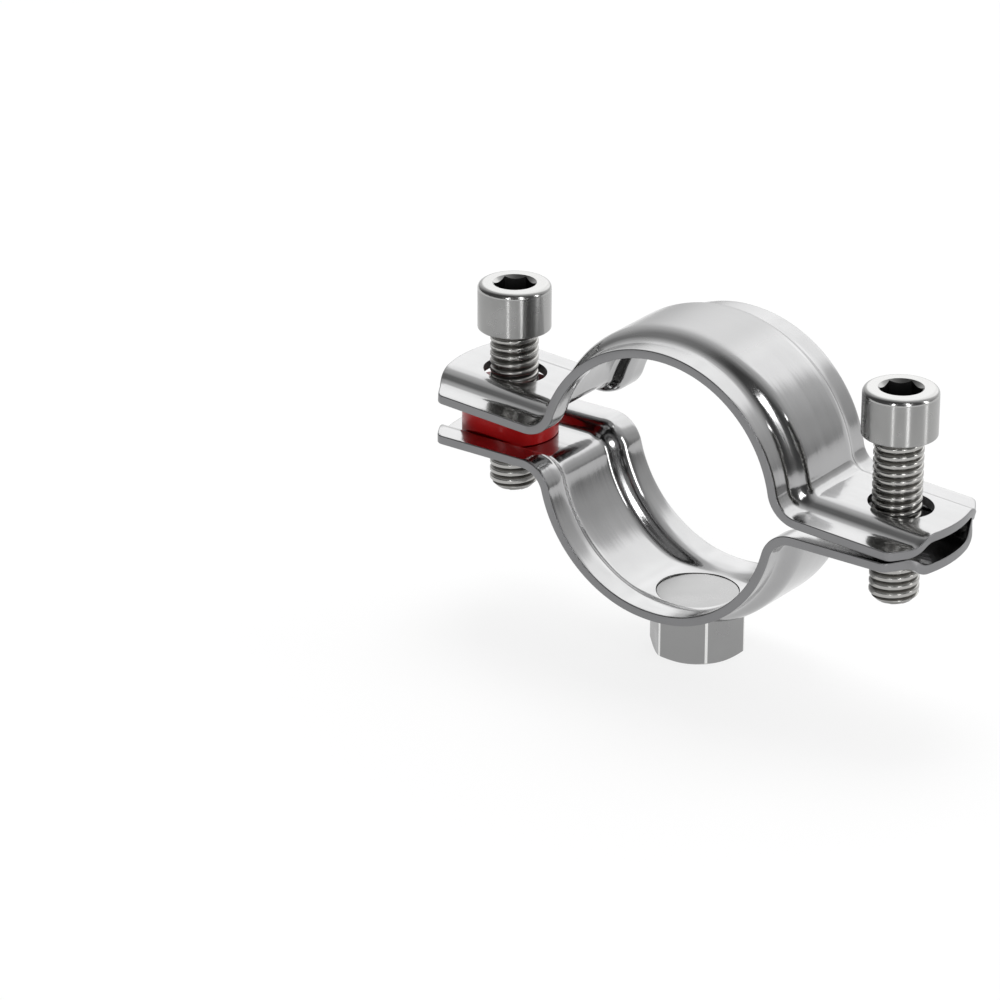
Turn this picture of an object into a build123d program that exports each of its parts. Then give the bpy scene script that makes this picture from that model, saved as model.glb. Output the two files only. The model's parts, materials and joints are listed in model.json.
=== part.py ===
from build123d import *
import math
import os

# Two-screw pipe clamp bracket, in millimetres.
# The pipe runs along Y through the origin, the screws stand along Z, and the support nut points down.
# The origin is the centre of the pipe seat in the lower half.

# Strap, the pressed band that both halves are bent from
pipe_radius = 21.0
strap_width = 26.0
sheet = 1.5
channel_depth = 1.9
rim_width = 4.6
slope_width = 2.3
fold_radius = 5.6
lug_drop = 1.0
lug_margin = 10.1
lug_end_radius = 22.0
lug_corner_radius = 1.5
crown_edge_bevel = 0.6
rim_edge_bevel = 0.5

# Screws, with their thread kept as a plain shank of the outside diameter
screw_spacing = 73.4
thread_diameter = 7.9
screw_length = 27.5
head_diameter = 12.0
head_height = 7.7
head_edge = 0.55
socket_width = 6.0
socket_depth = 4.2
socket_mouth = 0.6
socket_turn = 34.0
thread_end_chamfer = 1.0
left_head_seat = 15.1
right_head_seat = 14.8

# Tapped collars drawn down from the lower lugs
thread_clearance = 0.05
collar_wall = 1.2
collar_height = 1.6
collar_flare = 0.8
collar_mouth = 0.8

# Upper half: slots for the screws, and the slack pose in which it rests
slot_length = 10.6
slot_width = 9.6
upper_tilt = 3.8
upper_turn = 0.8
upper_shift_x = 0.2
upper_shift_y = 0.0
contact_gap = 0.05

# Support nut, pressed through the bottom of the lower half
seat_depth = 21.8
nut_width = 14.0
nut_height = 8.5
nut_turn = 15.0
nut_bevel = 30.0
nut_face_shrink = 0.4
nut_spigot_diameter = 13.4
nut_thread_radius = 4.25
nut_thread_depth = 8.3
nut_mouth = 0.8
spigot_clearance = 0.04

# Red spacer ring on the left screw
ring_diameter = 15.8
ring_bore = 9.8
ring_edge = 0.35
ring_side_gap = 0.15
ring_shift_x = -0.5
ring_shift_y = -0.35

# Worked out from the sizes above: the section of the strap
screw_x = screw_spacing / 2
lug_end = screw_x + lug_margin
crown_half = strap_width / 2 - rim_width - slope_width
rim_inner = strap_width / 2 - rim_width
slope_angle = math.degrees(math.atan2(channel_depth, slope_width))
lug_floor = lug_drop + channel_depth
lug_outside = lug_floor + sheet
fill_margin = 10.0
fill_reach = lug_end + fill_margin
fill_top = 8.0
cut_overlap = 1.0

# The plan outline of the lugs, a shallow arc between two straight sides
end_centre = lug_end - lug_end_radius
corner_x = end_centre + math.sqrt(lug_end_radius**2 - (strap_width / 2) ** 2)
rim_end = end_centre + math.sqrt(lug_end_radius**2 - rim_inner**2)

# The upper half is tilted about the bore until the right end of its rims rests on the lower lug
tilt = math.radians(upper_tilt)
upper_lift = rim_end * math.sin(tilt) - lug_drop * (1 + math.cos(tilt)) + contact_gap
upper_pose = Location((upper_shift_x, upper_shift_y, upper_lift), (0, 0, upper_turn)) * Location(
    (0, 0, 0), (0, upper_tilt, 0)
)

# The spacer ring stands in the channel of the lower lug and reaches the rims of the upper lug
ring_radius = ring_diameter / 2
ring_bottom = -lug_floor + contact_gap
ring_foot = crown_half - ring_side_gap
ring_waist = rim_inner - ring_side_gap
ring_rest = -lug_drop + contact_gap
upper_offset = screw_x * math.sin(math.radians(upper_turn)) - upper_shift_y + ring_shift_y
rim_beside = rim_inner - upper_offset
ring_flank = math.sqrt(max(0.0, ring_radius**2 - rim_beside**2))
rim_above = lug_drop * math.cos(tilt) + (screw_x - ring_flank) * math.sin(tilt) + upper_lift
ring_top = rim_above - contact_gap
ring_height = ring_top - ring_bottom

# Heights along the support nut and the tapped collars
nut_top = -(seat_depth + sheet)
nut_bottom = nut_top - nut_height
hole_radius = thread_diameter / 2 + thread_clearance
collar_radius = hole_radius + collar_wall


def point_on(centre_x, centre_z, radius, angle):
    """A point of the section on a circle, with the angle in degrees from +X."""
    turn = math.radians(angle)
    return (centre_x + radius * math.cos(turn), centre_z + radius * math.sin(turn))


def edge_shift(offset):
    """How far the fold lines of the channel move towards the rims on a surface moved by offset."""
    return offset * math.tan(math.radians(slope_angle / 2))


def section_above(offset, top):
    """Fills the region above the strap's section line, moved outwards by offset, in the X-Z plane."""
    fold_z = -(lug_drop + fold_radius)
    fold_x = math.sqrt((pipe_radius + fold_radius) ** 2 - fold_z**2)
    lean = math.degrees(math.atan2(-fold_z, fold_x))
    radius = pipe_radius + offset
    bend = fold_radius - offset
    lug_z = -(lug_drop + offset)
    for side in (1, -1):
        joint = point_on(0, 0, radius, -lean)
        middle = point_on(fold_x, fold_z, bend, (90 + 180 - lean) / 2)
        outer = (side * fill_reach, lug_z)
        start = (side * fold_x, lug_z)
        end = (side * joint[0], joint[1])
        Line((side * fill_reach, top), outer)
        Line(outer, start)
        ThreePointArc(start, (side * middle[0], middle[1]), end)
    ThreePointArc((-joint[0], joint[1]), (0, -radius), joint)
    Line((-fill_reach, top), (fill_reach, top))


def lines_at(shape, distance):
    """The long edges of a fill that run at the given distance to both sides of its middle plane."""
    return shape.edges().filter_by(
        lambda edge: edge.bounding_box().size.Y < 0.01
        and abs(abs(edge.center().Y) - distance) < 0.01
        and abs(edge.center().X) < fill_reach - 1
        and edge.center().Z < 0
    )


def pressed_fill(offset, overlap, crown_bevel, rim_bevel, seated):
    """The solid that fills the open side of a strap surface: rims, and the deeper channel between them.

    A seated surface has its channel pressed flat at the bottom, where the support nut sits.
    """
    with BuildPart() as channel:
        with BuildSketch(Plane.XZ) as floor_section:
            with BuildLine():
                section_above(offset + channel_depth, fill_top + overlap)
            make_face()
        extrude(amount=crown_half + edge_shift(offset), both=True)
        with BuildSketch(Plane.XZ.offset(crown_half + edge_shift(offset))) as slope_section:
            with BuildLine():
                section_above(offset + channel_depth, fill_top + overlap)
            make_face()
        extrude(amount=slope_width, taper=slope_angle)
        mirror(about=Plane.XZ)
        if crown_bevel > 0:
            chamfer(lines_at(channel, crown_half + edge_shift(offset)), crown_bevel)
        if seated:
            with Locations((0, 0, -(seat_depth + offset))):
                Box(
                    2 * fill_reach,
                    strap_width,
                    pipe_radius,
                    align=(Align.CENTER, Align.CENTER, Align.MAX),
                    mode=Mode.SUBTRACT,
                )
    with BuildPart() as fill:
        with BuildSketch(Plane.XZ) as rim_section:
            with BuildLine():
                section_above(offset, fill_top + overlap)
            make_face()
        extrude(amount=strap_width / 2 + overlap, both=True)
        add(channel.part)
        if rim_bevel > 0:
            chamfer(lines_at(fill, rim_inner + edge_shift(offset)), rim_bevel)
    return fill.part


def lug_outline():
    """The plan outline of a half: two straight sides, and a shallow arc with small corners at each end."""
    half = strap_width / 2
    Line((-corner_x, half), (corner_x, half))
    ThreePointArc((corner_x, half), (lug_end, 0), (corner_x, -half))
    Line((corner_x, -half), (-corner_x, -half))
    ThreePointArc((-corner_x, -half), (-lug_end, 0), (-corner_x, half))


def pressed_strap(seated):
    """One strap as pressed, in the place of the lower half, cut to its plan outline."""
    with BuildPart() as strap:
        add(pressed_fill(sheet, 0, crown_edge_bevel, 0, seated))
        add(pressed_fill(0, cut_overlap, 0, rim_edge_bevel, seated), mode=Mode.SUBTRACT)
        with BuildSketch() as plan:
            with BuildLine():
                lug_outline()
            make_face()
            fillet(plan.vertices(), lug_corner_radius)
        extrude(amount=fill_reach, both=True, mode=Mode.INTERSECT)
    return strap.part


def cap_screw(x, seat):
    """Draws one socket head cap screw that stands at the given x, with its head on the given height."""
    with Locations((x, 0, seat)):
        Cylinder(head_diameter / 2, head_height, align=(Align.CENTER, Align.CENTER, Align.MIN))
        Cylinder(thread_diameter / 2, screw_length, align=(Align.CENTER, Align.CENTER, Align.MAX))
    chamfer(faces().sort_by(Axis.Z)[-1].edges(), head_edge)
    chamfer(faces().sort_by(Axis.Z)[0].edges(), thread_end_chamfer)
    with BuildSketch(Plane((x, 0, seat + head_height))) as socket:
        RegularPolygon(socket_width / 2, 6, major_radius=False, rotation=socket_turn)
    extrude(socket.sketch, amount=-socket_depth, mode=Mode.SUBTRACT)
    with Locations((x, 0, seat + head_height)):
        Cone(
            socket_width / 2,
            socket_width / 2 + socket_mouth,
            socket_mouth,
            align=(Align.CENTER, Align.CENTER, Align.MAX),
            mode=Mode.SUBTRACT,
        )


# Lower half: a strap with tapped collars drawn from its lugs and a round hole for the nut's spigot
with BuildPart() as lower_half:
    add(pressed_strap(seated=True))
    with Locations((-screw_x, 0, -lug_floor - sheet / 2), (screw_x, 0, -lug_floor - sheet / 2)):
        Cylinder(collar_radius, sheet / 2 + collar_height, align=(Align.CENTER, Align.CENTER, Align.MAX))
    roots = edges().filter_by(GeomType.CIRCLE).filter_by(
        lambda edge: abs(edge.radius - collar_radius) < 0.001 and abs(edge.center().Z + lug_outside) < 0.001
    )
    chamfer(roots, collar_flare)
    with Locations((-screw_x, 0, 0), (screw_x, 0, 0)):
        Cylinder(hole_radius, 4 * lug_outside, mode=Mode.SUBTRACT)
    mouths = edges().filter_by(GeomType.CIRCLE).filter_by(
        lambda edge: abs(edge.radius - hole_radius) < 0.001 and abs(edge.center().Z + lug_floor) < 0.001
    )
    chamfer(mouths, collar_mouth)
    with Locations((0, 0, -seat_depth)):
        Cylinder(nut_spigot_diameter / 2 + spigot_clearance, 4 * sheet, mode=Mode.SUBTRACT)

# Upper half: a strap without the nut's seat, turned over, with slots instead of threads
with BuildPart() as upper_flat:
    add(pressed_strap(seated=False))
    mirror(about=Plane.XY, mode=Mode.REPLACE)
    with BuildSketch():
        with Locations((-screw_x, 0), (screw_x, 0)):
            SlotOverall(slot_length, slot_width)
    extrude(amount=2 * lug_outside, mode=Mode.SUBTRACT)

with BuildPart() as upper_half:
    with Locations(upper_pose):
        add(upper_flat.part)

# Support nut: a hexagon bevelled at its lower end, a spigot through the seat, and a blind threaded bore
with BuildPart() as support_nut:
    with BuildSketch(Plane.XY.offset(nut_top)):
        RegularPolygon(nut_width / 2, 6, major_radius=False, rotation=nut_turn)
    extrude(amount=-nut_height)
    with BuildSketch(Plane.XZ):
        with BuildLine():
            face_radius = nut_width / 2 - nut_face_shrink
            cone_radius = nut_width
            cone_rise = (cone_radius - face_radius) * math.tan(math.radians(nut_bevel))
            Polyline(
                (0, nut_bottom),
                (face_radius, nut_bottom),
                (cone_radius, nut_bottom + cone_rise),
                (cone_radius, 0),
                (0, 0),
                close=True,
            )
        make_face()
    revolve(axis=Axis.Z, mode=Mode.INTERSECT)
    with Locations((0, 0, nut_top)):
        Cylinder(nut_spigot_diameter / 2, sheet, align=(Align.CENTER, Align.CENTER, Align.MIN))
    with Locations((0, 0, nut_bottom)):
        Cylinder(
            nut_thread_radius,
            nut_thread_depth,
            align=(Align.CENTER, Align.CENTER, Align.MIN),
            mode=Mode.SUBTRACT,
        )
        Cone(
            nut_thread_radius + nut_mouth,
            nut_thread_radius,
            nut_mouth,
            align=(Align.CENTER, Align.CENTER, Align.MIN),
            mode=Mode.SUBTRACT,
        )

# Two equal screws, the left one standing a little higher
with BuildPart() as screw_left:
    cap_screw(-screw_x, left_head_seat)

with BuildPart() as screw_right:
    cap_screw(screw_x, right_head_seat)

# Spacer ring, pushed a little to one side of its screw, with its foot narrowed to the slopes of the channel
with BuildPart() as spacer_ring:
    with Locations((ring_shift_x - screw_x, ring_shift_y, ring_bottom)):
        Cylinder(ring_radius, ring_height, align=(Align.CENTER, Align.CENTER, Align.MIN))
    chamfer(edges().filter_by(GeomType.CIRCLE), ring_edge)
    with Locations((ring_shift_x - screw_x, ring_shift_y, ring_bottom)):
        Hole(ring_bore / 2)
    with BuildSketch(Plane.YZ):
        with BuildLine():
            Polyline(
                (-ring_foot, ring_bottom),
                (ring_foot, ring_bottom),
                (ring_waist, ring_rest),
                (ring_diameter, ring_rest),
                (ring_diameter, ring_top),
                (-ring_diameter, ring_top),
                (-ring_diameter, ring_rest),
                (-ring_waist, ring_rest),
                close=True,
            )
        make_face()
    extrude(amount=lug_end, both=True, mode=Mode.INTERSECT)

pieces = {
    "lower_half": lower_half,
    "upper_half": upper_half,
    "support_nut": support_nut,
    "screw_left": screw_left,
    "screw_right": screw_right,
    "spacer_ring": spacer_ring,
}
os.makedirs("parts", exist_ok=True)
for name, piece in pieces.items():
    piece.part.label = name
    export_step(piece.part, f"parts/{name}.step")
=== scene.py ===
import json
import math

import bmesh
import bpy
from mathutils import Matrix, Vector

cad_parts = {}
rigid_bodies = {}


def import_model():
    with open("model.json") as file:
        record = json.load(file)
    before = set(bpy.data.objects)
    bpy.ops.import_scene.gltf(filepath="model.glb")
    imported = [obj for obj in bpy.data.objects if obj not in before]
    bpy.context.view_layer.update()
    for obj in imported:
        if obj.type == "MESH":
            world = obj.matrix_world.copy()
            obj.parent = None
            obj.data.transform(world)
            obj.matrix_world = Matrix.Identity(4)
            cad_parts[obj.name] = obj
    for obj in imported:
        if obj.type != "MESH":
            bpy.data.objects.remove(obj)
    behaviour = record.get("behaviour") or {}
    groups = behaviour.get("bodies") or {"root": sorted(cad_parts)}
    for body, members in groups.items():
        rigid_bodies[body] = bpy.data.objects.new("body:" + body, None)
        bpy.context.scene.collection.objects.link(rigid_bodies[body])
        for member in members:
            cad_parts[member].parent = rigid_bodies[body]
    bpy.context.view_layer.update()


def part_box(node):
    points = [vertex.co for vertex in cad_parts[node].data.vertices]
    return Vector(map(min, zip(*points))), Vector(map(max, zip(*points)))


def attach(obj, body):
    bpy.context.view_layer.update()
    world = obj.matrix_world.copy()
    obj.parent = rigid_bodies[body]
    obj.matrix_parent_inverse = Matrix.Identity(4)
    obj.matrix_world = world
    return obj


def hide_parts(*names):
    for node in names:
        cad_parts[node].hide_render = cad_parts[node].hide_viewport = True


# The file starts empty, with only the solids of the frame in it.
for leftover in list(bpy.data.objects):
    bpy.data.objects.remove(leftover)
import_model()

# Camera and studio
# A long lens looks down at the clamp from its front right, with the clamp right of the middle.
# The table is a plain white sheet. A broad soft glow stands behind it on the left and the room in front is dark,
# with three upright strip lights in it, so polished steel shows white flats, and dark steps with thin white lines.
# The glow is a little uneven from side to side, as from a row of upright panels.
camera_data = bpy.data.cameras.new("camera")
camera_data.lens = 174.947
camera_data.sensor_width = 36.0
camera_data.clip_start = 0.05
camera_data.clip_end = 20.0
camera = bpy.data.objects.new("camera", camera_data)
camera.location = (0.39626, -0.58970, 0.30304)
camera.rotation_euler = (math.radians(66.4704), math.radians(-0.1202), math.radians(36.5169))
bpy.context.scene.collection.objects.link(camera)
bpy.context.scene.camera = camera
bpy.context.scene.view_settings.view_transform = "Standard"

mm = 0.001
table_top = -31.85 * mm


def area_light(name, spot, aim, size, power):
    """A soft rectangular lamp at a spot, turned to a point."""
    lamp = bpy.data.lights.new(name, "AREA")
    lamp.shape = "RECTANGLE"
    lamp.size, lamp.size_y = size
    lamp.energy = power
    holder = bpy.data.objects.new(name, lamp)
    holder.location = spot
    holder.rotation_euler = (Vector(aim) - Vector(spot)).to_track_quat("-Z", "Y").to_euler()
    bpy.context.scene.collection.objects.link(holder)
    return holder


def noise(nodes, links, where, scale, detail):
    """Adds a noise texture that reads the given coordinates, and gives its value."""
    made = nodes.new("ShaderNodeTexNoise")
    made.inputs["Scale"].default_value = scale
    made.inputs["Detail"].default_value = detail
    links.new(where, made.inputs["Vector"])
    return made.outputs["Fac"]


# The key light only lights the plastic and the table: the steel mirrors the glow and the strips.
key_light = area_light("key_light", (-0.20, 0.30, 0.85), (0, 0, 0), (0.5, 0.5), 5.0)
key_light.visible_glossy = False
area_light("side_strip", (0.63, -0.42, 0.27), (0, 0, 0), (0.08, 0.90), 1.9)
area_light("front_strip", (0.18, -0.73, 0.25), (0, 0, 0), (0.05, 0.45), 0.9)
area_light("back_strip", (0.70, 0.27, 0.22), (0, 0, 0), (0.09, 0.50), 1.0)

world = bpy.data.worlds.new("studio")
world.use_nodes = True
bpy.context.scene.world = world
nodes, links = world.node_tree.nodes, world.node_tree.links
nodes.clear()
direction = nodes.new("ShaderNodeTexCoord")
towards_glow = nodes.new("ShaderNodeVectorMath")
towards_glow.operation = "DOT_PRODUCT"
towards_glow.inputs[1].default_value = (-0.20, 0.78, 0.59)
links.new(direction.outputs["Generated"], towards_glow.inputs[0])
share = nodes.new("ShaderNodeMapRange")
share.inputs["From Min"].default_value = -1.0
share.inputs["From Max"].default_value = 1.0
links.new(towards_glow.outputs["Value"], share.inputs["Value"])
sky = nodes.new("ShaderNodeValToRGB")
sky.color_ramp.interpolation = "EASE"
glow_stops = (0.0, 0.05), (0.60, 0.045), (0.70, 0.13), (0.81, 0.33), (0.90, 0.46), (0.955, 0.93), (0.985, 0.97)
for place, grey in glow_stops:
    stop = sky.color_ramp.elements.new(place)
    stop.color = (grey, grey, grey, 1.0)
sky.color_ramp.elements.remove(sky.color_ramp.elements[-1])
sky.color_ramp.elements.remove(sky.color_ramp.elements[0])
links.new(share.outputs["Result"], sky.inputs["Fac"])
upright = nodes.new("ShaderNodeMapping")
upright.inputs["Scale"].default_value = (5.0, 5.0, 0.4)
links.new(direction.outputs["Generated"], upright.inputs["Vector"])
panels = noise(nodes, links, upright.outputs["Vector"], 1.0, 1.0)
panel_light = nodes.new("ShaderNodeMapRange")
panel_light.inputs["From Min"].default_value = 0.35
panel_light.inputs["From Max"].default_value = 0.65
panel_light.inputs["To Min"].default_value = 1.82
panel_light.inputs["To Max"].default_value = 2.14
links.new(panels, panel_light.inputs["Value"])
studio_glow = nodes.new("ShaderNodeBackground")
links.new(panel_light.outputs["Result"], studio_glow.inputs["Strength"])
links.new(sky.outputs["Color"], studio_glow.inputs["Color"])
world_out = nodes.new("ShaderNodeOutputWorld")
links.new(studio_glow.outputs[0], world_out.inputs["Surface"])

bpy.ops.mesh.primitive_plane_add(size=36.0, location=(0, 0, table_top))
table = bpy.context.object
table.name = "table"
table_paint = bpy.data.materials.new("white_table")
table_paint.use_nodes = True
nodes, links = table_paint.node_tree.nodes, table_paint.node_tree.links
nodes.clear()
matt = nodes.new("ShaderNodeBsdfDiffuse")
matt.inputs["Color"].default_value = (0.86, 0.86, 0.86, 1.0)
glow = nodes.new("ShaderNodeEmission")
glow.inputs["Color"].default_value = (1.0, 1.0, 1.0, 1.0)
ray = nodes.new("ShaderNodeLightPath")
looked_at = nodes.new("ShaderNodeMath")
looked_at.operation = "MAXIMUM"
links.new(ray.outputs["Is Camera Ray"], looked_at.inputs[0])
links.new(ray.outputs["Is Glossy Ray"], looked_at.inputs[1])
looked_through = nodes.new("ShaderNodeMath")
looked_through.operation = "MAXIMUM"
links.new(looked_at.outputs[0], looked_through.inputs[0])
links.new(ray.outputs["Is Transmission Ray"], looked_through.inputs[1])
white_share = nodes.new("ShaderNodeMath")
white_share.operation = "MULTIPLY"
white_share.inputs[1].default_value = 0.82
links.new(looked_through.outputs[0], white_share.inputs[0])
seen = nodes.new("ShaderNodeMixShader")
links.new(white_share.outputs[0], seen.inputs["Fac"])
links.new(matt.outputs[0], seen.inputs[1])
links.new(glow.outputs[0], seen.inputs[2])
table_out = nodes.new("ShaderNodeOutputMaterial")
links.new(seen.outputs[0], table_out.inputs["Surface"])
table.data.materials.append(table_paint)


# Pressed strap, the common form of both halves
# Stainless sheet 1.5 mm thick, pressed to a shallow channel between two flat rims and bent over formers:
# half round the pipe, folded out at both sides, with lugs that end in a shallow arc.
sheet = 1.5 * mm
pipe_radius = 21.0 * mm
strap_half = 13.0 * mm
channel_depth = 1.9 * mm
crown_half = 6.1 * mm
rim_inner = 8.4 * mm
fold_radius = 5.6 * mm
lug_drop = 1.0 * mm
lug_end = 46.8 * mm
lug_end_radius = 22.0 * mm
lug_corner = 1.2 * mm
crown_bend = 2.4 * mm
rim_bend = 4.4 * mm
edge_break = 0.16 * mm
grain_depth = 0.02 * mm
wave_depth = 0.5 * mm
streak_depth = 0.11 * mm
screw_x = 36.7 * mm
fold_z = -(lug_drop + fold_radius)
fold_x = math.sqrt((pipe_radius + fold_radius) ** 2 - fold_z**2)
wrap = math.pi / 2 - math.atan2(-fold_z, fold_x)


def start_alone():
    """Leaves edit mode and deselects everything, so that the next operator acts on new work only."""
    if bpy.context.mode != "OBJECT":
        bpy.ops.object.mode_set(mode="OBJECT")
    bpy.ops.object.select_all(action="DESELECT")


def work_on(piece):
    """Makes one piece the only selected and active object."""
    start_alone()
    piece.select_set(True)
    bpy.context.view_layer.objects.active = piece


def pick(kind, test):
    """In edit mode, selects only the vertices, or the edges, whose middle passes the test."""
    bpy.context.tool_settings.mesh_select_mode = (kind == "VERT", kind == "EDGE", False)
    mesh = bpy.context.edit_object.data
    shape = bmesh.from_edit_mesh(mesh)
    for group in (shape.verts, shape.edges, shape.faces):
        for item in group:
            item.select = False
    for vert in shape.verts:
        if kind == "VERT":
            vert.select = test(vert.co)
    for edge in shape.edges:
        if kind == "EDGE" and test((edge.verts[0].co + edge.verts[1].co) / 2):
            edge.select_set(True)
    shape.select_flush_mode()
    bmesh.update_edit_mesh(mesh)


def apply_all(piece):
    """Applies every modifier of a piece, from the top of the stack down."""
    work_on(piece)
    for modifier in list(piece.modifiers):
        bpy.ops.object.modifier_apply(modifier=modifier.name)


def cut(piece, tool, how="DIFFERENCE"):
    """Cuts a piece with a tool, which is then removed."""
    blade = piece.modifiers.new("cut", "BOOLEAN")
    blade.operation = how
    blade.solver = "EXACT"
    blade.object = tool
    apply_all(piece)
    bpy.data.objects.remove(tool)


def bend_points(corner, radius, turn, first, count):
    """Points of a small bend of the section at a corner: it turns from slope first by turn, in count steps."""
    reach = radius * math.tan(abs(turn) / 2)
    start = (corner[0] - reach * math.cos(first), corner[1] - reach * math.sin(first))
    side = 1 if turn > 0 else -1
    centre = (start[0] - side * radius * math.sin(first), start[1] + side * radius * math.cos(first))
    found = []
    for step in range(count + 1):
        angle = first + turn * step / count
        found.append((centre[0] + side * radius * math.sin(angle), centre[1] - side * radius * math.cos(angle)))
    return found


slope = math.atan2(channel_depth, rim_inner - crown_half)
# The section is drawn from the middle of the crown to one edge: crown, bend, slope, bend and rim.
half_section = [(y * mm, channel_depth) for y in (0.0, 1.5, 3.0, 4.3)]
half_section += bend_points((crown_half, channel_depth), crown_bend, -slope, 0.0, 7)
half_section += bend_points((rim_inner, 0.0), rim_bend, slope, -slope, 9)
half_section += [(10.6 * mm, 0.0), (11.5 * mm, 0.0), (12.3 * mm, 0.0), (strap_half, 0.0)]
section = [(-y, depth) for y, depth in reversed(half_section[1:])] + half_section

start_alone()
bpy.ops.mesh.primitive_grid_add(x_subdivisions=1, y_subdivisions=len(section) - 1, size=2 * strap_half)
strap = bpy.context.object
strap.name = "strap"
bpy.ops.object.mode_set(mode="EDIT")
pick("VERT", lambda co: co.x > 0)
bpy.ops.mesh.delete(type="VERT")
bpy.ops.object.mode_set(mode="OBJECT")
for vert, (y, depth) in zip(sorted(strap.data.vertices, key=lambda v: v.co.y), section):
    vert.co = (0.0, y, -(pipe_radius + depth))
bpy.ops.object.mode_set(mode="EDIT")
bpy.ops.mesh.select_all(action="SELECT")
bpy.ops.mesh.spin(steps=110, angle=wrap, center=(0, 0, 0), axis=(0, 1, 0))
bpy.ops.mesh.spin(steps=16, angle=-wrap, center=(fold_x, 0, fold_z), axis=(0, 1, 0))
lug_steps = 16
stretch = ((lug_end - fold_x) / lug_steps, 0, 0)
for step in range(lug_steps):
    bpy.ops.mesh.extrude_region_move(TRANSFORM_OT_translate={"value": stretch})
bpy.ops.object.mode_set(mode="OBJECT")

# The lug's end is drawn out to its arc behind the screw, and its corners are rounded.
end_centre = lug_end - lug_end_radius
for vert in strap.data.vertices:
    behind = max(0.0, vert.co.x - screw_x) / (lug_end - screw_x)
    arc = end_centre + math.sqrt(lug_end_radius**2 - vert.co.y**2)
    vert.co.x -= (lug_end - arc) * behind
bpy.ops.object.mode_set(mode="EDIT")
corner_x = end_centre + math.sqrt(lug_end_radius**2 - strap_half**2)
pick("VERT", lambda co: co.x > corner_x - 0.1 * mm and abs(co.y) > strap_half - 0.01 * mm)
bpy.ops.mesh.bevel(offset=lug_corner, offset_type="OFFSET", segments=5, affect="VERTICES")
bpy.ops.object.mode_set(mode="OBJECT")
mirrored = strap.modifiers.new("other_lug", "MIRROR")
mirrored.merge_threshold = 0.001 * mm
apply_all(strap)
if strap.data.polygons[0].normal.dot(strap.data.polygons[0].center) < 0:
    strap.data.flip_normals()


def smooth_max(a, b, softness):
    """The larger of two heights, with a soft change from one to the other."""
    return softness * math.log(math.exp((a - b) / softness) + 1.0) + b


def shear_walls(piece, x, radius):
    """Gives the walls of a hole around a screw the look of cut sheet."""
    for face in piece.data.polygons:
        if abs(face.normal.z) < 0.3 and math.hypot(face.center.x - x, face.center.y) < radius:
            face.material_index = 1


def thicken(piece):
    """Gives a strap surface its sheet thickness outwards and breaks its cut edges."""
    wall = piece.modifiers.new("wall", "SOLIDIFY")
    wall.thickness = sheet
    wall.offset = 1.0
    wall.use_even_offset = True
    wall.material_offset_rim = 1
    broken = piece.modifiers.new("broken_edge", "BEVEL")
    broken.limit_method = "ANGLE"
    broken.angle_limit = math.radians(60)
    broken.width = edge_break
    broken.segments = 3
    broken.material = 1
    broken.use_clamp_overlap = False
    apply_all(piece)


def bump(nodes, links, height, strength, distance, under=None):
    """Adds a bump node, on top of another one's normal if given, and gives its normal."""
    made = nodes.new("ShaderNodeBump")
    made.inputs["Strength"].default_value = strength
    made.inputs["Distance"].default_value = distance
    links.new(height, made.inputs["Height"])
    if under:
        links.new(under, made.inputs["Normal"])
    return made.outputs["Normal"]


def finish_shading(piece, degrees):
    """Smooth shading that keeps edges sharper than the angle, with flats that stay flat."""
    work_on(piece)
    bpy.ops.object.shade_smooth_by_angle(angle=math.radians(degrees))
    weighted = piece.modifiers.new("flat_faces", "WEIGHTED_NORMAL")
    weighted.keep_sharp = True
    apply_all(piece)


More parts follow.
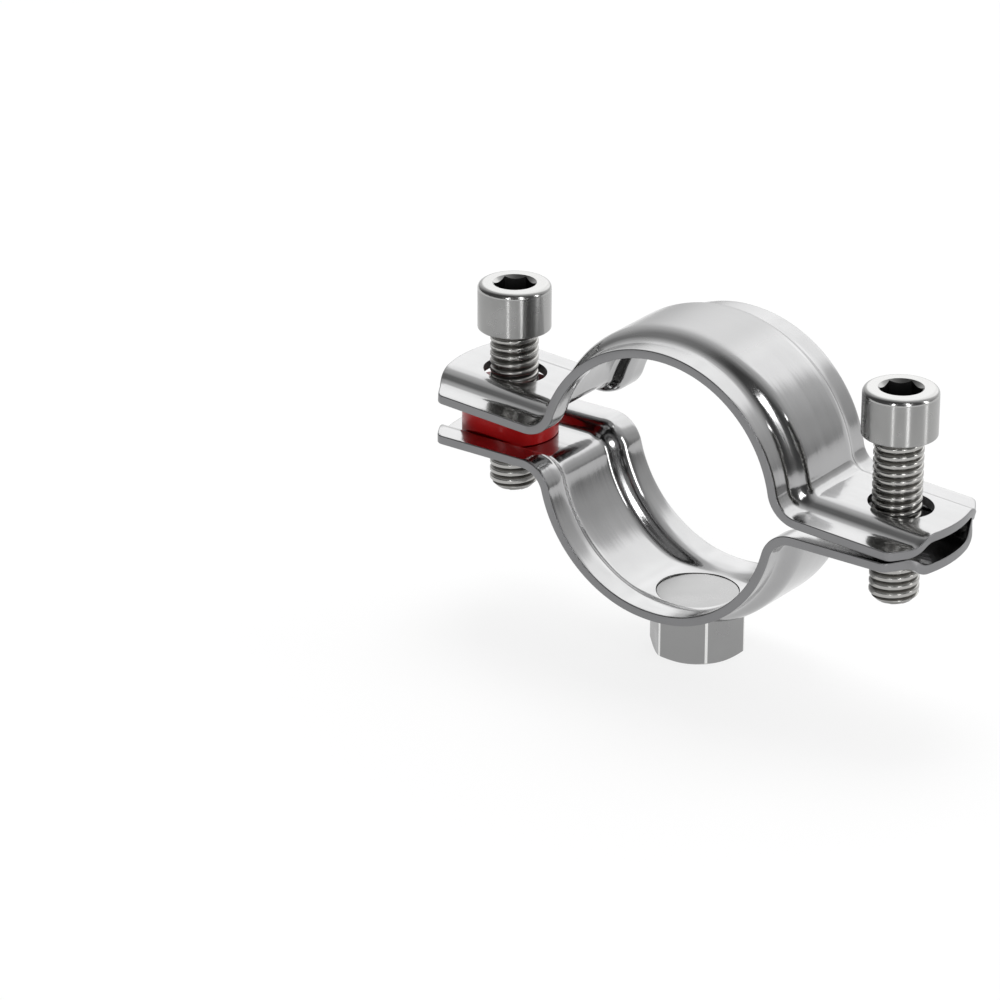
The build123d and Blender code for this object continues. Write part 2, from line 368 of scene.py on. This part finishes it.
def steel(name, colour, roughness, grain, wave, turned=False, drawn=False):
    """Stainless steel: fine grain, small roughness changes and faint waves. Turned steel has fine grooves around Z,
    and drawn sheet has soft streaks along the strap and is matt on top of the arc."""
    made = bpy.data.materials.new(name)
    made.use_nodes = True
    nodes, links = made.node_tree.nodes, made.node_tree.links
    shader = nodes["Principled BSDF"]
    shader.inputs["Metallic"].default_value = 1.0
    place = nodes.new("ShaderNodeTexCoord")

    cloud = noise(nodes, links, place.outputs["Object"], 160.0, 5.0)
    tint = nodes.new("ShaderNodeValToRGB")
    tint.color_ramp.elements[0].position = 0.3
    tint.color_ramp.elements[1].position = 0.7
    tint.color_ramp.elements[0].color = (*[c * 0.93 for c in colour], 1.0)
    tint.color_ramp.elements[1].color = (*colour, 1.0)
    links.new(cloud, tint.inputs["Fac"])
    links.new(tint.outputs["Color"], shader.inputs["Base Color"])

    gloss = nodes.new("ShaderNodeMapRange")
    gloss.inputs["From Min"].default_value = 0.3
    gloss.inputs["From Max"].default_value = 0.7
    gloss.inputs["To Min"].default_value = roughness * 0.8
    gloss.inputs["To Max"].default_value = roughness * 1.25
    links.new(cloud, gloss.inputs["Value"])
    links.new(gloss.outputs["Result"], shader.inputs["Roughness"])

    fine = noise(nodes, links, place.outputs["Object"], 2600.0, 2.0)
    normal = bump(nodes, links, fine, grain, grain_depth)
    swell = noise(nodes, links, place.outputs["Object"], 75.0, 1.0)
    normal = bump(nodes, links, swell, wave, wave_depth, normal)
    if drawn:
        across = nodes.new("ShaderNodeMapping")
        across.inputs["Scale"].default_value = (12.0, 320.0, 12.0)
        links.new(place.outputs["Object"], across.inputs["Vector"])
        streaks = noise(nodes, links, across.outputs["Vector"], 1.0, 3.0)
        normal = bump(nodes, links, streaks, 0.6, streak_depth, normal)
        lift = nodes.new("ShaderNodeSeparateXYZ")
        links.new(place.outputs["Object"], lift.inputs["Vector"])
        matt_top = nodes.new("ShaderNodeMapRange")
        matt_top.interpolation_type = "SMOOTHSTEP"
        matt_top.inputs["From Min"].default_value = 22.0 * mm
        matt_top.inputs["From Max"].default_value = 24.6 * mm
        matt_top.inputs["To Max"].default_value = 0.30
        links.new(lift.outputs["Z"], matt_top.inputs["Value"])
        dulled = nodes.new("ShaderNodeMath")
        links.new(gloss.outputs["Result"], dulled.inputs[0])
        links.new(matt_top.outputs["Result"], dulled.inputs[1])
        links.new(dulled.outputs[0], shader.inputs["Roughness"])
    links.new(normal, shader.inputs["Normal"])
    if turned:
        around = nodes.new("ShaderNodeTangent")
        around.direction_type = "RADIAL"
        around.axis = "Z"
        links.new(around.outputs["Tangent"], shader.inputs["Tangent"])
        shader.inputs["Anisotropic"].default_value = 1.0
        shader.inputs["Anisotropic Rotation"].default_value = 0.25
    return made


strap_steel = steel("polished_strap", (0.41, 0.41, 0.412), 0.135, 0.10, 0.10, drawn=True)
sheared_edge = steel("sheared_edge", (0.25, 0.25, 0.255), 0.38, 0.35, 0.05)
strap.data.materials.append(strap_steel)
strap.data.materials.append(sheared_edge)


# Lower half
# The strap with the nut's seat pressed flat at the bottom, a round hole there for the nut's spigot,
# and a tapped collar drawn down from each lug for its screw.
seat_depth = 21.8 * mm
seat_softness = 0.50 * mm
spigot_radius = 6.7 * mm
spigot_gap = 0.06 * mm
lug_floor = lug_drop + channel_depth
lug_outside = lug_floor + sheet
collar_radius = 5.2 * mm
collar_height = 1.6 * mm
tapped_radius = 4.0 * mm
cutter_length = 12 * mm

lower_strap = strap.copy()
lower_strap.data = strap.data.copy()
lower_strap.name = "lower_strap"
bpy.context.scene.collection.objects.link(lower_strap)
for vert in lower_strap.data.vertices:
    vert.co.z = smooth_max(vert.co.z, -seat_depth, seat_softness)
thicken(lower_strap)
start_alone()
bpy.ops.mesh.primitive_cylinder_add(
    vertices=96, radius=spigot_radius + spigot_gap, depth=cutter_length / 2, location=(0, 0, -seat_depth)
)
cut(lower_strap, bpy.context.object)
for side in (-1, 1):
    start_alone()
    bpy.ops.mesh.primitive_cylinder_add(
        vertices=64, radius=tapped_radius, depth=cutter_length, location=(side * screw_x, 0, -lug_floor)
    )
    cut(lower_strap, bpy.context.object)
    shear_walls(lower_strap, side * screw_x, tapped_radius + 0.1 * mm)
finish_shading(lower_strap, 50)
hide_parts("lower_half")
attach(lower_strap, "base")

for side, name in ((-1, "left_collar"), (1, "right_collar")):
    start_alone()
    bpy.ops.mesh.primitive_cylinder_add(
        vertices=64, radius=tapped_radius, depth=collar_height + 0.4 * mm, end_fill_type="NOTHING",
        location=(side * screw_x, 0, -lug_outside - collar_height / 2 + 0.2 * mm),
    )
    collar = bpy.context.object
    collar.name = name
    bpy.ops.object.transform_apply(location=True)
    wall = collar.modifiers.new("wall", "SOLIDIFY")
    wall.thickness = collar_radius - tapped_radius
    wall.offset = 1.0
    rounded = collar.modifiers.new("rounded", "BEVEL")
    rounded.limit_method = "ANGLE"
    rounded.angle_limit = math.radians(60)
    rounded.width = 0.25 * mm
    rounded.segments = 3
    apply_all(collar)
    collar.data.materials.append(strap_steel)
    finish_shading(collar, 35)
    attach(collar, "base")


# Upper half
# The same strap turned over, with a slot in each lug for its screw. It stands slack on its screws:
# the left side is held up by the red ring, and the right lug rests on the lower one.
slot_length = 10.6 * mm
slot_width = 9.6 * mm
upper_tilt = math.radians(3.8)
upper_turn = math.radians(0.8)
upper_shift_x = 0.2 * mm
upper_rise = 1.0433 * mm

upper_strap = strap
upper_strap.name = "upper_strap"
thicken(upper_strap)
for side in (-1, 1):
    start_alone()
    bpy.ops.mesh.primitive_cylinder_add(
        vertices=96, radius=slot_width / 2, depth=cutter_length, location=(side * screw_x, 0, -lug_floor)
    )
    slot_tool = bpy.context.object
    bpy.ops.object.transform_apply(location=True)
    for vert in slot_tool.data.vertices:
        outwards = 1 if vert.co.x > side * screw_x else -1
        vert.co.x += outwards * (slot_length - slot_width) / 2
    cut(upper_strap, slot_tool)
    shear_walls(upper_strap, side * screw_x, slot_length / 2 + 0.1 * mm)
upper_strap.data.transform(Matrix.Diagonal((1, 1, -1, 1)))
upper_strap.data.flip_normals()
work_on(upper_strap)
upper_strap.matrix_world = (
    Matrix.Translation((upper_shift_x, 0, upper_rise))
    @ Matrix.Rotation(upper_turn, 4, "Z")
    @ Matrix.Rotation(upper_tilt, 4, "Y")
)
bpy.ops.object.transform_apply(location=True, rotation=True, scale=True)
finish_shading(upper_strap, 50)
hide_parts("upper_half")
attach(upper_strap, "upper")


# Socket head screws
# Turned and rolled from stainless steel: a plain cylindrical head with a hexagon socket that opens in a round
# bevel, and a rolled thread up to the head with a bevelled end. The thread's roots and the socket are painted
# darker, as painted shade.
thread_radius = 3.95 * mm
thread_pitch = 1.35 * mm
thread_depth = 0.62 * mm
screw_length = 27.5 * mm
shank_bevel = 1.0 * mm
head_radius = 6.0 * mm
head_height = 7.7 * mm
head_round = 0.95 * mm
head_foot_round = 0.22 * mm
socket_width = 6.0 * mm
socket_depth = 4.2 * mm
socket_mouth = 0.6 * mm
socket_turn = math.radians(34.0)
# Painted shade: a dark colour for the thread's roots, standing in for the shade in the grooves.
root_shade_steel = steel("painted_thread_root_shade", (0.17, 0.165, 0.155), 0.30, 0.20, 0.04)
screw_steel = steel("rolled_thread", (0.42, 0.415, 0.40), 0.24, 0.15, 0.04)
head_steel = steel("turned_head", (0.40, 0.40, 0.395), 0.28, 0.08, 0.02, turned=True)
cap_steel = steel("polished_cap", (0.42, 0.42, 0.415), 0.17, 0.08, 0.02)
# Painted shade: a near-black colour for the inside of the hexagon socket.
socket_shade_steel = steel("painted_socket_shade", (0.10, 0.10, 0.10), 0.35, 0.20, 0.02)


def helix(name, outline, turns, steps):
    """A thread surface on the Z axis: an outline of one pitch, from z = 0 up, turned upwards round the axis."""
    start_alone()
    bpy.ops.mesh.primitive_grid_add(x_subdivisions=1, y_subdivisions=len(outline) - 1, size=1.0)
    thread = bpy.context.object
    thread.name = name
    bpy.ops.object.mode_set(mode="EDIT")
    pick("VERT", lambda co: co.x > 0)
    bpy.ops.mesh.delete(type="VERT")
    bpy.ops.object.mode_set(mode="OBJECT")
    for vert, (radius, z) in zip(sorted(thread.data.vertices, key=lambda v: v.co.y), outline):
        vert.co = (radius, 0.0, z)
    turned = thread.modifiers.new("turned", "SCREW")
    turned.axis = "Z"
    turned.angle = 2 * math.pi
    turned.screw_offset = thread_pitch
    turned.iterations = turns
    turned.steps = turned.render_steps = steps
    turned.use_merge_vertices = True
    turned.merge_threshold = 0.001 * mm
    turned.use_smooth_shade = True
    apply_all(thread)
    return thread


root = thread_radius - thread_depth
rolled = [
    (root, 0.0), (root + 0.10 * mm, 0.09 * mm), (root + 0.38 * mm, 0.22 * mm),
    (thread_radius - 0.06 * mm, 0.34 * mm), (thread_radius, 0.46 * mm),
    (thread_radius, 0.89 * mm), (thread_radius - 0.06 * mm, 1.01 * mm),
    (root + 0.38 * mm, 1.13 * mm), (root + 0.10 * mm, 1.26 * mm), (root, thread_pitch),
]
for name, node, x, seat, body in (
    ("left_screw_shank", "screw_left", -screw_x, 15.1 * mm, "left_screw"),
    ("right_screw_shank", "screw_right", screw_x, 14.8 * mm, "right_screw"),
):
    shank = helix(name, rolled, 23, 48)
    low = seat - screw_length
    for vert in shank.data.vertices:
        vert.co.z += low - 1.4 * mm
    bpy.ops.object.mode_set(mode="EDIT")
    bpy.ops.mesh.select_all(action="SELECT")
    bpy.ops.mesh.bisect(plane_co=(0, 0, low), plane_no=(0, 0, 1), clear_inner=True, use_fill=False)
    bpy.ops.mesh.select_all(action="SELECT")
    bpy.ops.mesh.bisect(plane_co=(0, 0, seat + 0.2 * mm), plane_no=(0, 0, 1), clear_outer=True, use_fill=False)
    bpy.ops.object.mode_set(mode="OBJECT")
    for vert in shank.data.vertices:
        across = math.hypot(vert.co.x, vert.co.y)
        most = thread_radius - shank_bevel + (vert.co.z - low)
        if across > most:
            vert.co.x *= most / across
            vert.co.y *= most / across
    bpy.ops.object.mode_set(mode="EDIT")
    pick("VERT", lambda co: co.z < low + 0.001 * mm)
    bpy.ops.mesh.edge_face_add()
    bpy.ops.object.mode_set(mode="OBJECT")
    shank.data.transform(Matrix.Translation((x, 0, 0)))
    shank.data.materials.append(screw_steel)
    shank.data.materials.append(root_shade_steel)
    # Faces near the thread's root take the painted shade colour.
    for face in shank.data.polygons:
        if math.hypot(face.center.x - x, face.center.y) < root + 0.3 * mm and face.normal.z > -0.9:
            face.material_index = 1
    work_on(shank)
    bpy.ops.object.shade_smooth_by_angle(angle=math.radians(50))

    start_alone()
    bpy.ops.mesh.primitive_cylinder_add(
        vertices=96, radius=head_radius, depth=head_height, location=(x, 0, seat + head_height / 2)
    )
    head = bpy.context.object
    head.name = name.replace("shank", "head")
    bpy.ops.object.transform_apply(location=True)
    bpy.ops.object.mode_set(mode="EDIT")
    pick("EDGE", lambda co: co.z > seat + head_height - 0.01 * mm)
    bpy.ops.mesh.bevel(offset=head_round, segments=7, affect="EDGES")
    pick("EDGE", lambda co: co.z < seat + 0.01 * mm)
    bpy.ops.mesh.bevel(offset=head_foot_round, segments=3, affect="EDGES")
    bpy.ops.object.mode_set(mode="OBJECT")
    start_alone()
    bpy.ops.mesh.primitive_cylinder_add(
        vertices=6, radius=socket_width / math.sqrt(3), depth=socket_depth * 2, location=(0, 0, 0)
    )
    hexagon = bpy.context.object
    hexagon.data.transform(Matrix.Rotation(socket_turn + math.pi / 6, 4, "Z"))
    hexagon.data.transform(Matrix.Translation((x, 0, seat + head_height)))
    cut(head, hexagon)
    start_alone()
    bpy.ops.mesh.primitive_cone_add(
        vertices=96, radius1=socket_width / 2 - socket_mouth, radius2=socket_width / 2 + 2 * socket_mouth,
        depth=3 * socket_mouth, location=(x, 0, seat + head_height - socket_mouth / 2),
    )
    cut(head, bpy.context.object)
    for metal in (head_steel, cap_steel, socket_shade_steel):
        head.data.materials.append(metal)
    # Faces inside the socket take the painted shade colour; the top round and the mouth take the polished cap.
    for face in head.data.polygons:
        above = face.center.z - (seat + head_height)
        inside = math.hypot(face.center.x - x, face.center.y) < socket_width / math.sqrt(3)
        if inside and -socket_depth - 0.1 * mm < above < -socket_mouth:
            face.material_index = 2
        elif above > -head_round - 0.02 * mm:
            face.material_index = 1
    finish_shading(head, 35)
    for piece in (shank, head):
        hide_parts(node)
        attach(piece, body)


# Support nut
# Milled from hexagon bar: satin flats and a bevelled lower end, with a painted highlight on its upright corners. Its
# spigot is pressed through the seat and lies flush inside, and a blind threaded hole takes the rod from below.
nut_width = 14.0 * mm
nut_top = -(seat_depth + sheet)
nut_bottom = nut_top - 8.5 * mm
nut_turn = math.radians(15.0)
nut_corner = 0.26 * mm
nut_face_radius = 6.6 * mm
nut_bore = 5.0 * mm
nut_hole = 8.3 * mm
spigot_height = sheet + 0.5 * mm
nut_steel = steel("satin_nut", (0.32, 0.32, 0.32), 0.30, 0.30, 0.05)
# Painted highlight: a near-white colour for the nut's bevelled upright corners.
nut_corner_highlight = steel("painted_nut_corner_highlight", (0.85, 0.85, 0.84), 0.22, 0.15, 0.02)

start_alone()
bpy.ops.mesh.primitive_cylinder_add(
    vertices=6, radius=nut_width / math.sqrt(3), depth=nut_top - nut_bottom, location=(0, 0, 0)
)
nut = bpy.context.object
nut.name = "nut"
nut.data.transform(Matrix.Rotation(nut_turn + math.pi / 6, 4, "Z"))
nut.data.materials.append(nut_steel)
nut.data.materials.append(nut_corner_highlight)
bpy.ops.object.mode_set(mode="EDIT")
# The upright corners are bevelled and take the painted highlight colour.
pick("EDGE", lambda co: abs(co.z) < 0.01 * mm)
bpy.ops.mesh.bevel(offset=nut_corner, segments=3, affect="EDGES", material=1)
bpy.ops.object.mode_set(mode="OBJECT")
nut.data.transform(Matrix.Translation((0, 0, (nut_top + nut_bottom) / 2)))
start_alone()
bpy.ops.mesh.primitive_cone_add(
    vertices=96, radius1=nut_face_radius, radius2=nut_face_radius + 20 * mm * math.tan(math.radians(60)),
    depth=20 * mm, location=(0, 0, nut_bottom + 10 * mm),
)
cut(nut, bpy.context.object, "INTERSECT")
start_alone()
bpy.ops.mesh.primitive_cylinder_add(vertices=96, radius=nut_bore, depth=2 * nut_hole, location=(0, 0, nut_bottom))
cut(nut, bpy.context.object)
broken = nut.modifiers.new("broken_edge", "BEVEL")
broken.limit_method = "ANGLE"
broken.angle_limit = math.radians(25)
broken.width = 0.10 * mm
broken.segments = 2
apply_all(nut)
finish_shading(nut, 35)

start_alone()
bpy.ops.mesh.primitive_cylinder_add(
    vertices=96, radius=spigot_radius, depth=spigot_height, location=(0, 0, -seat_depth - spigot_height / 2)
)
spigot = bpy.context.object
spigot.name = "nut_spigot"
bpy.ops.object.transform_apply(location=True)
bpy.ops.object.mode_set(mode="EDIT")
pick("EDGE", lambda co: co.z > -seat_depth - 0.01 * mm)
bpy.ops.mesh.bevel(offset=0.12 * mm, segments=3, affect="EDGES")
bpy.ops.object.mode_set(mode="OBJECT")
spigot.data.materials.append(nut_steel)
finish_shading(spigot, 35)

nut_crest = 4.25 * mm
cut_thread = [
    (nut_bore, 0.0), (nut_bore, 0.15 * mm), (nut_crest, 0.58 * mm), (nut_crest, 0.82 * mm), (nut_bore, thread_pitch),
]
nut_thread = helix("nut_thread", cut_thread, 9, 48)
for vert in nut_thread.data.vertices:
    vert.co.z += nut_bottom - 1.3 * mm
bpy.ops.object.mode_set(mode="EDIT")
bpy.ops.mesh.select_all(action="SELECT")
bpy.ops.mesh.bisect(plane_co=(0, 0, nut_bottom + 0.05 * mm), plane_no=(0, 0, 1), clear_inner=True)
bpy.ops.mesh.select_all(action="SELECT")
bpy.ops.mesh.bisect(plane_co=(0, 0, nut_bottom + nut_hole), plane_no=(0, 0, 1), clear_outer=True)
bpy.ops.object.mode_set(mode="OBJECT")
nut_thread.data.flip_normals()
nut_thread.data.materials.append(nut_steel)
for piece in (nut, spigot, nut_thread):
    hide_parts("support_nut")
    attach(piece, "base")


# Spacer ring
# Moulded in glossy red plastic, a plain collar with soft edges around the left screw. It stands in the channel
# of the lower lug, with its foot narrowed to the channel's slopes, and holds the upper lug up.
ring_radius = 7.9 * mm
ring_bore = 4.9 * mm
ring_side_gap = 0.15 * mm
contact_gap = 0.05 * mm
ring_low, ring_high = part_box("spacer_ring")
ring_middle = (ring_low + ring_high) / 2
ring_height = ring_high.z - ring_low.z

start_alone()
bpy.ops.mesh.primitive_cylinder_add(vertices=96, radius=ring_radius, depth=ring_height, location=ring_middle)
ring = bpy.context.object
ring.name = "red_ring"
bpy.ops.object.transform_apply(location=True)
start_alone()
bpy.ops.mesh.primitive_cylinder_add(vertices=96, radius=ring_bore, depth=20 * mm, location=ring_middle)
cut(ring, bpy.context.object)
bpy.ops.object.mode_set(mode="EDIT")
for side in (-1, 1):
    bpy.ops.mesh.select_all(action="SELECT")
    bpy.ops.mesh.bisect(
        plane_co=(0, side * (crown_half - ring_side_gap), contact_gap - lug_floor),
        plane_no=(0, side * math.sin(slope), -math.cos(slope)), clear_outer=True, use_fill=True,
    )
bpy.ops.object.mode_set(mode="OBJECT")
soft = ring.modifiers.new("soft_edge", "BEVEL")
soft.limit_method = "ANGLE"
soft.angle_limit = math.radians(38)
soft.width = 0.30 * mm
soft.segments = 4
apply_all(ring)
red_plastic = bpy.data.materials.new("red_plastic")
red_plastic.use_nodes = True
nodes, links = red_plastic.node_tree.nodes, red_plastic.node_tree.links
shader = nodes["Principled BSDF"]
shader.inputs["Specular IOR Level"].default_value = 0.3
place = nodes.new("ShaderNodeTexCoord")
mottle = noise(nodes, links, place.outputs["Object"], 240.0, 2.0)
tint = nodes.new("ShaderNodeValToRGB")
tint.color_ramp.elements[0].color = (0.42, 0.004, 0.005, 1.0)
tint.color_ramp.elements[1].color = (0.52, 0.008, 0.009, 1.0)
links.new(mottle, tint.inputs["Fac"])
links.new(tint.outputs["Color"], shader.inputs["Base Color"])
skin = nodes.new("ShaderNodeMapRange")
skin.inputs["To Min"].default_value = 0.24
skin.inputs["To Max"].default_value = 0.36
links.new(mottle, skin.inputs["Value"])
links.new(skin.outputs["Result"], shader.inputs["Roughness"])
ring.data.materials.append(red_plastic)
finish_shading(ring, 35)
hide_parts("spacer_ring")
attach(ring, "base")
